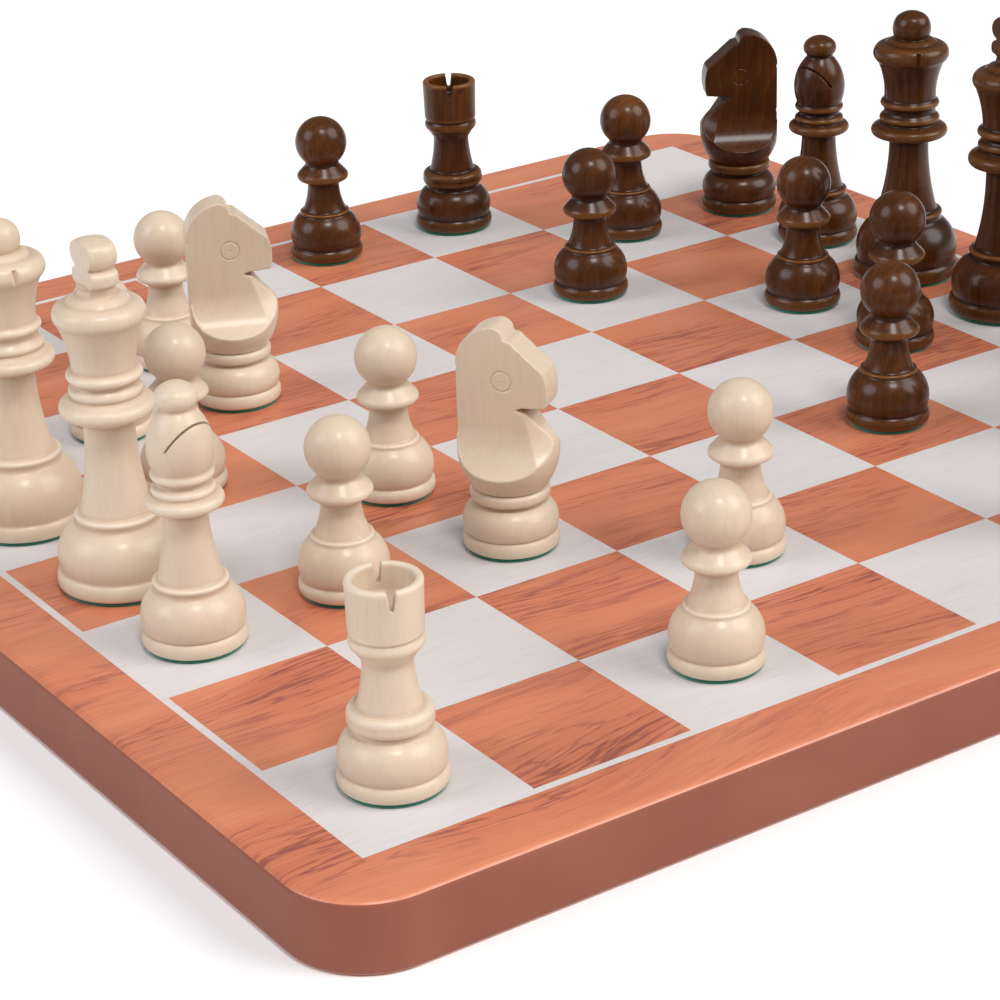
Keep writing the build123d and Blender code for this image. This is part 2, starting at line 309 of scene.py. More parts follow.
def line(start, end, step=1.2):
    """Points of a straight stretch, without its start."""
    count = max(1, round(math.dist(start, end) / step))
    return [
        (start[0] + (end[0] - start[0]) * i / count, start[1] + (end[1] - start[1]) * i / count)
        for i in range(1, count + 1)
    ]


def dome(start, top):
    """Points of the arc, centred on the axis, that closes an outline on the axis."""
    rise = top - start[1]
    radius = (start[0] ** 2 + rise**2) / (2 * rise)
    half = math.atan2(start[0], start[1] - top + radius) / 2
    middle = (radius * math.sin(half), top - radius + radius * math.cos(half))
    return arc(start, middle, (0.0, top))


FELT_TOP = 1.0  # mm, where the wood starts


def outline(steps, start_height=FELT_TOP):
    """Outline of a turned man: points (radius, height) in mm from the axis at the bottom to the top.

    A step is (radius, height) for a straight stretch, (radius, height, radius, height) for an arc
    through its first point, or (height,) for a dome.
    """
    points = [(0.0, start_height)]
    for step in steps:
        here = points[-1]
        if len(step) == 1:
            points += dome(here, step[0])
        elif len(step) == 2:
            points += line(here, step)
        else:
            points += arc(here, step[:2], step[2:])
    if points[-1][0] > 1e-6:
        points += line(points[-1], (0.0, points[-1][1]))
    return points


def softened(points, passes=2, near=1.0):
    """Round the corners a little, as sanding and lacquer do, where neighbours lie close."""
    for _ in range(passes):
        fresh = list(points)
        for i in range(1, len(points) - 1):
            before, here, after = points[i - 1], points[i], points[i + 1]
            reach = max(math.dist(before, here), math.dist(here, after))
            if reach < near:
                fresh[i] = tuple(0.5 * h + 0.25 * (b + a) for b, h, a in zip(before, here, after))
        points = fresh
    return points


def finely(points, step=0.3):
    """Split long stretches near corners so that softening has points to work with."""
    out = [points[0]]
    for point in points[1:]:
        start = out[-1]
        length = math.dist(start, point)
        if length > 2 * step:
            for share in (step / length, 1 - step / length):
                out.append(tuple(s + (p - s) * share for s, p in zip(start, point)))
        out.append(point)
    return out


def wear_and_shading_of(points):
    """How exposed each point of an outline is: 1 on a sharp ridge, -1 in a tight groove."""
    sharpest = 1.5  # radians of bend for each mm that still count
    shortest = 0.15  # mm over which a bend is spread at least
    bend = [0.0] * len(points)
    for i in range(1, len(points) - 1):
        (ax, ay), (bx, by), (cx, cy) = points[i - 1 : i + 2]
        ux, uy, vx, vy = bx - ax, by - ay, cx - bx, cy - by
        turn = math.atan2(ux * vy - uy * vx, ux * vx + uy * vy)
        length = (math.hypot(ux, uy) + math.hypot(vx, vy)) / 2
        bend[i] = max(-sharpest, min(sharpest, turn / max(length, shortest)))
    last = len(bend) - 1
    for _ in range(3):
        bend = [(bend[max(i - 1, 0)] + 2 * b + bend[min(i + 1, last)]) / 4 for i, b in enumerate(bend)]
    return [max(-1.0, min(1.0, b)) for b in bend]


def foot(plinth, bulge, groove, shoulder_radius, shoulder_height):
    """Plinth, groove and bulge, which every man has, from the top of its felt upwards."""
    belly = groove + 0.42 * (shoulder_height - groove)  # widest a little below half way
    return [
        (plinth - 0.7, FELT_TOP),
        (plinth - 0.2, FELT_TOP + 0.25, plinth, FELT_TOP + 0.9),
        (plinth, FELT_TOP + 2.4, plinth - 0.5, groove - 0.4),
        (plinth - 1.0, groove),
        (bulge - 0.5, groove + 0.4),
        (bulge - 0.1, belly, shoulder_radius, shoulder_height),
    ]


# Outlines of the men, in steps as outline() reads them
PLINTH = {"pawn": 11.4, "rook": 12.3, "knight": 12.2, "bishop": 12.6, "queen": 16.0, "king": 16.0}
FELT_INSET = 0.8
PAWN_STEPS = foot(PLINTH["pawn"], 11.3, 4.7, 7.7, 14.9) + [
    (7.9, 15.4, 7.5, 15.9),
    (6.9, 16.1),
    (5.7, 19.3, 4.95, 24.6),
    (6.2, 25.4, 7.8, 26.2),
    (8.15, 27.2, 7.9, 28.0),
    (5.35, 30.8),
    (5.3, 31.8),
    (46.1,),
]
ROOK_TOP = 49.3
ROOK_STEPS = foot(PLINTH["rook"], 12.1, 4.8, 8.4, 13.8) + [
    (8.5, 14.3, 8.0, 14.8),
    (9.2, 15.3, 9.5, 17.2),
    (9.2, 18.8, 7.5, 19.4),
    (7.2, 19.6),
    (6.3, 23.6, 5.6, 29.6),
    (6.0, 31.2, 6.5, 31.8),
    (7.2, 33.1),
    (8.3, 34.6, 7.9, 36.2),
    (7.5, 36.5),
    (8.2, 36.9),
    (8.5, ROOK_TOP - 0.9),
    (8.3, ROOK_TOP - 0.2, 7.8, ROOK_TOP),
    (6.7, ROOK_TOP - 0.2),
    (6.1, ROOK_TOP - 5.0),
    (5.4, ROOK_TOP - 6.3, 4.0, ROOK_TOP - 6.5),
]
BISHOP_STEPS = foot(PLINTH["bishop"], 12.6, 4.9, 8.9, 14.8) + [
    (8.7, 15.6, 9.0, 16.3),
    (9.2, 16.9, 8.6, 17.4),
    (7.8, 17.6),
    (6.3, 24.5, 5.3, 34.6),
    (7.4, 35.5, 9.0, 36.2),
    (9.5, 37.4, 8.9, 38.6),
    (7.2, 39.3),
    (7.7, 40.2, 7.2, 41.1),
    (6.2, 41.7),
    (6.4, 42.9),
    (7.6, 43.9, 7.1, 45.0),
    (6.9, 45.3),
    (7.9, 51.6, 3.9, 60.2),
    (4.0, 60.6),
    (5.15, 62.6, 4.2, 65.0),
    (66.6,),
]
QUEEN_STEPS = foot(PLINTH["queen"], 15.4, 5.2, 10.6, 18.0) + [
    (10.3, 19.0, 10.6, 19.7),
    (10.8, 20.3, 10.2, 20.9),
    (9.1, 21.1),
    (7.2, 29.0, 5.95, 42.8),
    (8.4, 43.9, 10.9, 44.7),
    (11.6, 46.0, 11.0, 47.4),
    (8.4, 48.9),
    (9.15, 50.0, 8.4, 51.2),
    (7.7, 52.1),
    (7.9, 53.6),
    (8.95, 54.7, 8.2, 55.8),
    (7.8, 56.3),
    (8.2, 62.0, 10.0, 67.6),
    (11.4, 70.2, 9.8, 72.8),
    (8.2, 73.2),
    (7.9, 73.0),
    (6.8, 74.1, 5.0, 74.6),
    (5.75, 78.0, 4.6, 81.0),
    (82.8,),
]
KING_STEPS = foot(PLINTH["king"], 15.4, 5.3, 10.3, 16.9) + [
    (10.1, 17.8, 10.4, 18.5),
    (10.6, 19.1, 10.0, 19.7),
    (9.0, 19.9),
    (7.4, 27.5, 6.4, 43.4),
    (8.8, 44.6, 11.0, 45.5),
    (11.8, 47.2, 11.1, 48.8),
    (8.4, 50.3),
    (9.1, 51.5, 8.4, 52.8),
    (7.8, 53.6),
    (8.2, 54.3),
    (9.4, 55.5, 8.5, 56.7),
    (7.8, 57.1),
    (8.7, 63.5, 10.4, 68.8),
    (11.3, 71.4, 9.4, 73.7),
    (8.2, 74.0),
    (7.9, 73.9),
    (7.0, 75.0, 4.9, 75.8),
    (4.5, 78.2),
    (6.0, 78.7),
    (6.3, 80.2, 6.1, 81.7),
    (4.5, 82.7),
    (5.6, 83.7),
    (6.3, 86.0, 5.4, 88.5),
    (89.7,),
]
HEAD_SEAT = 16.8
KNIGHT_TOP = 59.5
KNIGHT_BASE_STEPS = foot(PLINTH["knight"], 12.2, 5.0, 8.9, 12.7) + [
    (8.5, 13.1, 8.9, 13.5),
    (10.0, 14.2, 10.1, 15.2),
    (10.1, 16.0, 9.4, HEAD_SEAT),
]
KNIGHT_BLANK_STEPS = [
    (9.2, HEAD_SEAT),
    (11.9, 21.6, 12.9, 27.0),
    (12.9, KNIGHT_TOP + 1.0),
]

# Cuts into the turned men, in mm
ROOK_NICK_DEPTH = 4.4
SLIT_MIDDLE = (6.2, 57.7)
SLIT_REACH = 14.0
SLIT_SLOPE = 60.0  # degrees
CORONET_NOTCH = (2.6, 2.6, 4.8)
CORONET_RIM = (12.2, 70.2)
CORONET_FLARE = -12.0  # degrees
FLAT_CUTTER = (20.0, 10.0, 13.0)
FLAT_MIDDLE = 84.7

# Knight's head, in mm
BLANK_SEGMENTS = 96
MILL_RADIUS = 12.0  # round run-out under the cheeks and the facets
CHEEK_LOW = 33.5  # where the flat cheek starts to run out
RIDGE = (7.2, 32.2)  # a point of the ridge between cheek and chest
RIDGE_LEAN = -20.0  # degrees
FACET_ANGLE = -40.0  # degrees
MOUTH = 38.3  # the facets stop here
NAPE_CORNER = (-2.2, 31.0)
NAPE_RADIUS = 9.5
MANE = -12.2
MANE_NICKS = (48.5, 33.8)
MANE_NICK = 1.3
EYE = (0.2, 45.7)
EYE_RING = [(2.6, -0.12), (2.8, -0.12), (2.8, 0.2), (2.4, 0.2), (2.4, -0.12), (2.6, -0.12)]
PUPIL = [(0.0, -0.25), (0.25, 0.0), (0.25, 0.3), (0.0, 0.3)]
SANDING_VOXEL = 0.3
SANDING_PASSES = 5

# How far each man that isn't round is turned on its square, in degrees
TURNS = {
    "c1": -60.0,
    "d1": -6.0,
    "f1": 14.0,
    "h1": -21.0,
    "c3": 66.0,
    "f3": 36.0,
    "b8": 240.0,
    "c8": -82.0,
    "d8": -30.0,
    "f8": 120.0,
    "g8": 250.0,
    "h8": 90.0,
    "a6": -32.0,
}


# Materials --------------------------------------------------------------------------------------------


def place_of(tree):
    """Where a point is on the piece, in metres."""
    return add_node(tree, "ShaderNodeTexCoord").outputs["Object"]


def noise(tree, place, scale, detail, roughness=0.5, output="Fac"):
    """Noise with so many waves in a metre: one number, or one for each axis."""
    if isinstance(scale, tuple):
        links = {"Vector": place, "Scale": scale}
        place = add_node(tree, "ShaderNodeMapping", links).outputs["Vector"]
        scale = 1.0
    links = {"Vector": place, "Scale": scale, "Detail": detail, "Roughness": roughness}
    return add_node(tree, "ShaderNodeTexNoise", links).outputs[output]


def swayed(tree, place, scale, reach):
    """A place pushed about by slow noise."""
    push = noise(tree, place, scale, 2.0, output="Color")
    links = {0: reach, 4: place, 5: push}
    return add_node(tree, "ShaderNodeMix", links, data_type="VECTOR").outputs[1]


def mixed(tree, share, first, second):
    """A number between two others."""
    links = {0: share, 2: first, 3: second}
    return add_node(tree, "ShaderNodeMix", links, data_type="FLOAT").outputs[0]


def tinted(tree, share, base, text):
    """A colour shifted towards a hex colour."""
    links = {0: share, 6: base, 7: colour(text)}
    return add_node(tree, "ShaderNodeMix", links, data_type="RGBA").outputs[2]


def mapped(tree, value, source, result):
    """A value's (from, to) stretch laid over another (from, to) stretch."""
    links = {"Value": value, "From Min": source[0], "From Max": source[1]}
    links.update({"To Min": result[0], "To Max": result[1]})
    return add_node(tree, "ShaderNodeMapRange", links).outputs["Result"]


def maths(tree, operation, first, second=0.0):
    """Result of one sum."""
    return add_node(tree, "ShaderNodeMath", {0: first, 1: second}, operation=operation).outputs[0]


def surface(tree, shader, base, height, strength, depth_mm):
    """Give the shader its colour and its fine relief."""
    tree.links.new(base, shader.inputs["Base Color"])
    links = {"Height": height, "Strength": strength, "Distance": depth_mm * MM}
    relief = add_node(tree, "ShaderNodeBump", links).outputs["Normal"]
    tree.links.new(relief, shader.inputs["Normal"])


def turned_wood(name, stops, ring_mm, ring_share, ridge, groove, roughness, sheen):
    """Turned and lacquered hardwood. Its grain runs up the man, its rings are cut by the turning, its
    ridges are painted lighter, as rubbed wear and as a painted highlight, and its grooves are painted
    darker as painted shade; a clear coat gives the soft lamp reflections."""
    values = {
        "IOR": 1.45,
        "Specular IOR Level": sheen,
        "Coat Weight": 0.2,
        "Coat Roughness": 0.16,
    }
    material, tree, shader = new_material(name, values)
    place = place_of(tree)
    # Fibres: 0.7 mm across and about 18 mm long
    fibre = noise(tree, place, (1400.0, 1400.0, 55.0), 4.0, 0.6)
    # Growth rings: nearly flat sheets that wander by a few millimetres
    links = {
        "Vector": swayed(tree, place, 28.0, 0.012),
        "Scale": math.tau / 20 / (ring_mm * MM),
        "Distortion": 3.0,
        "Detail": 2.0,
        "Detail Scale": 0.6,
    }
    rings = add_node(tree, "ShaderNodeTexWave", links, bands_direction="X", wave_profile="SAW")
    patches = noise(tree, place, 35.0, 3.0)
    tone = mixed(tree, ring_share, fibre, rings.outputs["Fac"])
    base = ramp(tree, mixed(tree, 0.6, tone, patches), stops)
    # Ridges painted lighter (rubbed wear and a painted highlight) and grooves painted darker (painted
    # shade), from how the outline bends
    wear = add_node(tree, "ShaderNodeAttribute", attribute_name="wear").outputs["Fac"]
    base = tinted(tree, mapped(tree, wear, (0.1, 0.9), (0.0, ridge[1])), base, ridge[0])
    base = tinted(tree, mapped(tree, wear, (-0.1, -0.9), (0.0, groove[1])), base, groove[0])
    gloss = mapped(tree, patches, (0.0, 1.0), (roughness - 0.05, roughness + 0.07))
    tree.links.new(gloss, shader.inputs["Roughness"])
    surface(tree, shader, base, fibre, 0.12, 0.12)
    return material


def veneer_grain(tree):
    """Colour and fibre height of rosewood-like veneer, whose figure runs along +Y."""
    # Slow waves, 110 to 200 mm from crest to crest, bend the whole figure
    bent = swayed(tree, place_of(tree), (9.0, 5.0, 1.0), 0.045)
    # Broad bands: about 25 mm across and 200 mm long
    broad = noise(tree, bent, (42.0, 5.0, 1.0), 3.0, 0.55)
    # Fibres: 0.6 mm across and 20 mm long
    fine = noise(tree, bent, (1600.0, 50.0, 1.0), 3.0, 0.6)
    # Dark veins: thin ridges of a stretched noise, where the broad bands are darkest
    veins = noise(tree, bent, (95.0, 7.0, 1.0), 5.0, 0.62)
    tone = mixed(tree, 0.42, broad, fine)
    stops = [(0.28, "#B05E44"), (0.45, "#C67555"), (0.6, "#D0825F"), (0.78, "#DA936E")]
    base = ramp(tree, tone, stops)
    where = mapped(tree, broad, (0.58, 0.38), (0.0, 0.9))
    for level, width in ((0.5, 0.022), (0.41, 0.014), (0.58, 0.014)):
        near = maths(tree, "ABSOLUTE", maths(tree, "SUBTRACT", veins, level))
        vein = mapped(tree, near, (0.0, width), (0.85, 0.0))
        base = tinted(tree, maths(tree, "MULTIPLY", vein, where), base, "#74363A")
    return base, fine


def veneer_material():
    """Rosewood-like veneer under satin lacquer: warm orange brown with thin purple-brown veins."""
    values = {"Roughness": 0.38, "Coat Weight": 0.25, "Coat Roughness": 0.3}
    material, tree, shader = new_material("rosewood_veneer_satin_lacquer", values)
    base, fine = veneer_grain(tree)
    surface(tree, shader, base, fine, 0.15, 0.08)
    return material


def print_material():
    """Screen-printed light ink: a thin grey-white film through which the fibres still show."""
    material, tree, shader = new_material("screen_printed_light_ink", {"Roughness": 0.42})
    fibres = noise(tree, place_of(tree), (900.0, 60.0, 1.0), 4.0, 0.65)
    base = ramp(tree, fibres, [(0.25, "#C6BEBB"), (0.42, "#CFC9C7"), (0.75, "#D4CFCE")])
    surface(tree, shader, base, fibres, 0.2, 0.08)
    return material


def edge_paint_material():
    """Satin red-brown paint sprayed on the sanded edge of the panel, with faint orange peel."""
    values = {"Roughness": 0.5, "Specular IOR Level": 0.3}
    material, tree, shader = new_material("sprayed_satin_edge_paint", values)
    place = place_of(tree)
    base = ramp(tree, noise(tree, place, 40.0, 3.0), [(0.3, "#874B38"), (0.7, "#8F533F")])
    surface(tree, shader, base, noise(tree, place, 900.0, 2.0), 0.15, 0.06)
    return material


def felt_material():
    """Pressed wool felt, dyed green: matt, with a short fuzz that catches the light at its edge."""
    values = {"Roughness": 0.95, "Sheen Weight": 0.5, "Sheen Roughness": 0.5}
    material, tree, shader = new_material("pressed_green_felt", values)
    fuzz = noise(tree, place_of(tree), 2200.0, 3.0, 0.7)
    base = ramp(tree, fuzz, [(0.3, "#0F5A48"), (0.7, "#23856B")])
    surface(tree, shader, base, fuzz, 0.6, 0.2)
    return material


MATERIALS = {}


def make_materials():
    """Every finish of the set."""
    MATERIALS["light"] = turned_wood(
        "lacquered_maple",
        [(0.25, "#C6B099"), (0.45, "#CFBBA3"), (0.7, "#D5C4AE")],
        ring_mm=2.6,
        ring_share=0.15,
        # Ridge colour: rubbed wear and a painted highlight; groove colour: painted shade
        ridge=("#E6D6C2", 0.5),
        groove=("#B8977A", 0.5),
        roughness=0.42,
        sheen=0.4,
    )
    MATERIALS["dark"] = turned_wood(
        "walnut_stained_hardwood",
        [(0.26, "#210F05"), (0.4, "#371C09"), (0.54, "#4A270D"), (0.7, "#683C17")],
        ring_mm=2.2,
        ring_share=0.2,
        # Ridge colour: rubbed wear and a painted highlight; groove colour: painted shade
        ridge=("#8A5A2A", 0.5),
        groove=("#1A0D07", 0.7),
        roughness=0.32,
        sheen=0.2,
    )
    MATERIALS["felt"] = felt_material()
    MATERIALS["veneer"] = veneer_material()
    MATERIALS["print"] = print_material()
    MATERIALS["edge"] = edge_paint_material()


# Turning, as a Geometry Nodes tree --------------------------------------------------------------------


def sampled(tree, outline_mesh, value, index, kind):
    """Value of the outline at one of its points."""
    links = {"Geometry": outline_mesh, "Value": value, "Index": index}
    settings = {"data_type": kind, "domain": "POINT"}
    return add_node(tree, "GeometryNodeSampleIndex", links, **settings).outputs[0]


def lathe_tree():
    """Turns an outline about Z. The outline is a chain of points, each with how far its ridge is
    painted lighter and its groove painted in shade; a grid with one row for each point is rolled up
    round the axis."""
    tree = bpy.data.node_groups.new("turned_on_a_lathe", "GeometryNodeTree")
    sockets = tree.interface
    sockets.new_socket(name="Outline", in_out="INPUT", socket_type="NodeSocketGeometry")
    segments = sockets.new_socket(name="Segments", in_out="INPUT", socket_type="NodeSocketInt")
    segments.default_value = 80
    sockets.new_socket(name="Finish", in_out="INPUT", socket_type="NodeSocketMaterial")
    sockets.new_socket(name="Turned", in_out="OUTPUT", socket_type="NodeSocketGeometry")
    given = add_node(tree, "NodeGroupInput").outputs
    size = {"Geometry": given["Outline"]}
    rows = add_node(tree, "GeometryNodeAttributeDomainSize", size, component="MESH")
    rows = rows.outputs["Point Count"]
    columns = maths(tree, "ADD", given["Segments"], 1.0)
    size = {"Size X": 1.0, "Size Y": 1.0, "Vertices X": columns, "Vertices Y": rows}
    grid = add_node(tree, "GeometryNodeMeshGrid", size).outputs["Mesh"]
    index = add_node(tree, "GeometryNodeInputIndex").outputs[0]
    row = maths(tree, "MODULO", index, rows)
    column = maths(tree, "FLOOR", maths(tree, "DIVIDE", index, rows))
    here = add_node(tree, "GeometryNodeInputPosition").outputs[0]
    point = sampled(tree, given["Outline"], here, row, "FLOAT_VECTOR")
    stored = add_node(tree, "GeometryNodeInputNamedAttribute", {"Name": "wear"}, data_type="FLOAT")
    wear = sampled(tree, given["Outline"], stored.outputs[0], row, "FLOAT")
    angle = maths(tree, "MULTIPLY", maths(tree, "DIVIDE", column, given["Segments"]), math.tau)
    links = {"Vector": point, "Angle": angle}
    rolled = add_node(tree, "ShaderNodeVectorRotate", links, rotation_type="Z_AXIS").outputs[0]
    stages = [
        ("GeometryNodeSetPosition", {"Position": rolled}, {}),
        (
            "GeometryNodeStoreNamedAttribute",
            {"Name": "wear", "Value": wear},
            {"data_type": "FLOAT", "domain": "POINT"},
        ),
        ("GeometryNodeMergeByDistance", {"Distance": 0.002 * MM}, {}),
        ("GeometryNodeSetShadeSmooth", {"Shade Smooth": True}, {}),
        ("GeometryNodeRealizeInstances", {}, {}),
        ("GeometryNodeSetMaterial", {"Material": given["Finish"]}, {}),
    ]
    shape = grid
    for kind, links, settings in stages:
        shape = add_node(tree, kind, {"Geometry": shape, **links}, **settings).outputs[0]
    add_node(tree, "NodeGroupOutput", {0: shape})
    return tree


def turned(points, material, segments=None):
    """Mesh of an outline in mm turned about Z, through the lathe tree."""
    chain = bpy.data.meshes.new("outline")
    chain.from_pydata([(r * MM, 0.0, h * MM) for r, h in points], [], [])
    # Bend of the outline at each point: the wood shader paints ridges lighter (rubbed wear and a
    # painted highlight) and grooves darker (painted shade) from it
    wear = chain.attributes.new("wear", "FLOAT", "POINT")
    wear.data.foreach_set("value", wear_and_shading_of(points))
    holder = scratch("blank", chain)
    tree = bpy.data.node_groups.get("turned_on_a_lathe") or lathe_tree()
    modifier = holder.modifiers.new("lathe", "NODES")
    modifier.node_group = tree
    named = {item.name: item.identifier for item in tree.interface.items_tree}
    modifier[named["Segments"]] = segments or bpy.context.scene.chess_men.segments
    modifier[named["Finish"]] = material
    return baked(holder)


def turned_man(steps, material):
    """A turned man's wood, with softened corners."""
    return turned(softened(finely(outline(steps))), material)


# Men --------------------------------------------------------------------------------------------------


def men_of(kind):
    """(body, colour, square) of every man of one kind."""
    found = []
    for body in frame["bodies"]:
        words = body.split("_")
        if len(words) == 3 and words[1] == kind:
            found.append((body, words[0], words[2]))
    return found


def standing(body, kind, square):
    """Matrix that stands a man where its CAD nodes are."""
    node = body if kind == "pawn" else f"{body}_felt"
    low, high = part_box(node)
    turn = math.radians(TURNS.get(square, 0.0))
    centre = Vector(((low[0] + high[0]) / 2, (low[1] + high[1]) / 2, BOARD_TOP))
    return Matrix.Translation(centre) @ Matrix.Rotation(turn, 4, "Z")


def place_men(kind, parts):
    """Copy a kind's meshes to each of its men. Parts is a list of (suffix, maker, CAD node suffix)."""
    meshes = {}
    for body, side, square in men_of(kind):
        for suffix, maker, node_suffix in parts:
            if (side, suffix) not in meshes:
                meshes[side, suffix] = maker(MATERIALS[side])
            mesh = meshes[side, suffix].copy()
            mesh.transform(standing(body, kind, square))
            name = f"{body}_{suffix}"
            mesh.name = name
            new_piece(name, mesh, body, [body + node_suffix], MATERIALS[side])
        add_felt(body, kind, square)


def add_felt(body, kind, square):
    """Felt disc under one man, a little frayed at its edge."""
    settings = bpy.context.scene.chess_men
    thick = settings.felt / MM
    low, fray = 0.03, 0.15
    radius = PLINTH[kind] - FELT_INSET
    steps = [(radius - fray, low), (radius, 0.5 * thick, radius - fray, thick)]
    mesh = turned(outline(steps, low), MATERIALS["felt"])
    mesh.transform(standing(body, kind, square))
    node = body if kind == "pawn" else f"{body}_felt"
    new_piece(f"{body}_felt_disc", mesh, body, [node], MATERIALS["felt"])


def pawn_wood(material):
    """Ball head on a cone-shaped collar."""
    return turned_man(PAWN_STEPS, material)


def rook_wood(material):
    """Hollow tower with a nick across its wall."""
    half = bpy.context.scene.chess_men.nick_width / 2
    top, low = (ROOK_TOP + 0.5) * MM, (ROOK_TOP - ROOK_NICK_DEPTH) * MM
    right = [(half, top), (0.45 * half, low + half / 2), (0.2 * half, low)]
    left = [(-x, z) for x, z in reversed(right)]
    nick = prism([left[-1]] + right + left[:-1], -0.02, 0.02, "X")
    return boolean(turned_man(ROOK_STEPS, material), [nick])


def bishop_wood(material):
    """Mitre with a slanting saw cut."""
    width = bpy.context.scene.chess_men.slit_width / MM
    slant = shifted(SLIT_MIDDLE[0], 0, SLIT_MIDDLE[1]) @ rotated(-SLIT_SLOPE, "Y")
    return boolean(turned_man(BISHOP_STEPS, material), [block((SLIT_REACH, 30.0, width), slant)])


def queen_wood(material):
    """Coronet with four notches in its rim."""
    rim = shifted(CORONET_RIM[0], 0, CORONET_RIM[1]) @ rotated(CORONET_FLARE, "Y") @ rotated(45, "Z")
    cutters = [block(CORONET_NOTCH, rotated(turn, "Z") @ rim) for turn in (0, 90, 180, 270)]
    return boolean(turned_man(QUEEN_STEPS, material), cutters)


def king_wood(material):
    """Turned finial sliced flat on two sides."""
    middle = (bpy.context.scene.chess_men.finial_slab / MM + FLAT_CUTTER[1]) / 2
    cutters = [block(FLAT_CUTTER, shifted(0, side * middle, FLAT_MIDDLE)) for side in (-1, 1)]
    return boolean(turned_man(KING_STEPS, material), cutters)


def knight_base_wood(material):
    """Turned foot of the knight."""
    return turned_man(KNIGHT_BASE_STEPS, material)


def horse_outline():
    """The horse's side view: forward, up."""
    points = [(-11.7, HEAD_SEAT), (-11.7, 47.5)]
    points += arc((-11.7, 47.5), (-8.9, 56.4), (-2.7, KNIGHT_TOP), 1.0)
    points += arc((-2.7, KNIGHT_TOP), (-0.3, 58.9), (0.8, 56.4), 0.6)
    points += [(2.6, 56.0), (6.6, 52.4), (11.0, 48.6)]
    points += arc((11.0, 48.6), (11.8, 45.2), (11.3, 39.5), 1.0)
    points += [(4.9, 39.0), (3.2, 38.4), (6.0, 37.6), (9.6, 33.2)]
    points += arc((9.6, 33.2), (12.4, 30.0), (13.2, 26.0), 1.0)
    points += [(13.2, HEAD_SEAT)]
    return [(u * MM, z * MM) for u, z in points]


def scoop(length):
    """Cutter along X: a wall at y = 0 with air beyond it, run out below z = 0 by a round floor."""
    radius, length = MILL_RADIUS * MM, length * MM
    reach = 5 * radius
    steps = [i * math.pi / 32 for i in range(17)]
    section = [(radius - radius * math.cos(a), -radius * math.sin(a)) for a in steps]
    section += [(reach, -radius), (reach, reach), (0.0, reach)]
    return prism(section, -length / 2, length / 2, "X")


def nape_limit():
    """Side view within which a cheek is milled: its floor turns up in a round corner behind."""
    forward, up = NAPE_CORNER
    points = [(-30.0, 80.0), (-30.0, up), (forward - NAPE_RADIUS, up)]
    for index in range(1, 17):
        angle = math.pi + math.pi / 2 * index / 16
        points.append((forward + NAPE_RADIUS * math.cos(angle), up + NAPE_RADIUS * math.sin(angle)))
    points += [(30.0, up - NAPE_RADIUS), (30.0, 80.0)]
    return [(u * MM, z * MM) for u, z in points]


def softened_solid(mesh, voxel, passes):
    """Close a mesh into one skin and round its edges, as sanding does."""
    holder = scratch("solid", mesh)
    skin = holder.modifiers.new("skin", "REMESH")
    skin.mode = "VOXEL"
    skin.voxel_size = voxel
    sanding = holder.modifiers.new("sanding", "SMOOTH")
    sanding.factor = 0.5
    sanding.iterations = passes
    return baked(holder)


def knight_head_wood(material):
    """Carved head: a turned blank cut to the side view, with flat cheeks that run out in a soft scoop,
    facets beside the chest, mane nicks and an engraved ring for each eye."""
    half = bpy.context.scene.chess_men.cheek_gap / MM / 2
    blank = turned(outline(KNIGHT_BLANK_STEPS, HEAD_SEAT), material, BLANK_SEGMENTS)
    head = boolean(blank, [prism(horse_outline(), -0.02, 0.02)], "INTERSECT")
    below_mouth = block((100.0, 100.0, 60.0), shifted(0, 0, MOUTH - 30.0))
    lean = rotated(RIDGE_LEAN, "Y") @ rotated(FACET_ANGLE, "Z")
    cutters = []
    eyes = []
    for side in (-1, 1):
        cheek = scoop(80.0)
        cheek.transform(shifted(0, half, CHEEK_LOW))
        cheek = boolean(cheek, [prism(nape_limit(), -0.05, 0.05)], "INTERSECT")
        facet = scoop(50.0)
        facet.transform(shifted(RIDGE[0], half, RIDGE[1]) @ lean)
        facet = boolean(facet, [below_mouth], "INTERSECT")
        for cutter in (cheek, facet):
            cutter.transform(Matrix.Diagonal((1, side, 1, 1)))
            if side < 0:
                cutter.flip_normals()
            cutters.append(cutter)
        for mark, segments in ((EYE_RING, 64), (PUPIL, 12)):
            mark = turned(mark, material, segments)
            mark.transform(shifted(EYE[0], side * half, EYE[1]) @ rotated(-90 * side, "X"))
            eyes.append(mark)
    for height in MANE_NICKS:
        cutters.append(block((MANE_NICK, 30.0, MANE_NICK), shifted(MANE, 0, height) @ rotated(45, "Y")))
    head = softened_solid(boolean(head, cutters), SANDING_VOXEL * MM, SANDING_PASSES)
    head = boolean(head, eyes)
    for face in head.polygons:
        face.use_smooth = True
    return head


# Board ------------------------------------------------------------------------------------------------


def rounded_square(half, radius, height, corner_steps=16):
    """Outline of a square with rounded corners, as points at one height."""
    points = []
    for quarter in range(4):
        centre = Vector((half - radius, half - radius))
        for index in range(corner_steps + 1):
            angle = math.pi / 2 * index / corner_steps
            local = centre + Vector((math.cos(angle), math.sin(angle))) * radius
            turn = Matrix.Rotation(math.pi / 2 * quarter, 2)
            spot = turn @ local
            points.append((spot.x, spot.y, height))
    return points


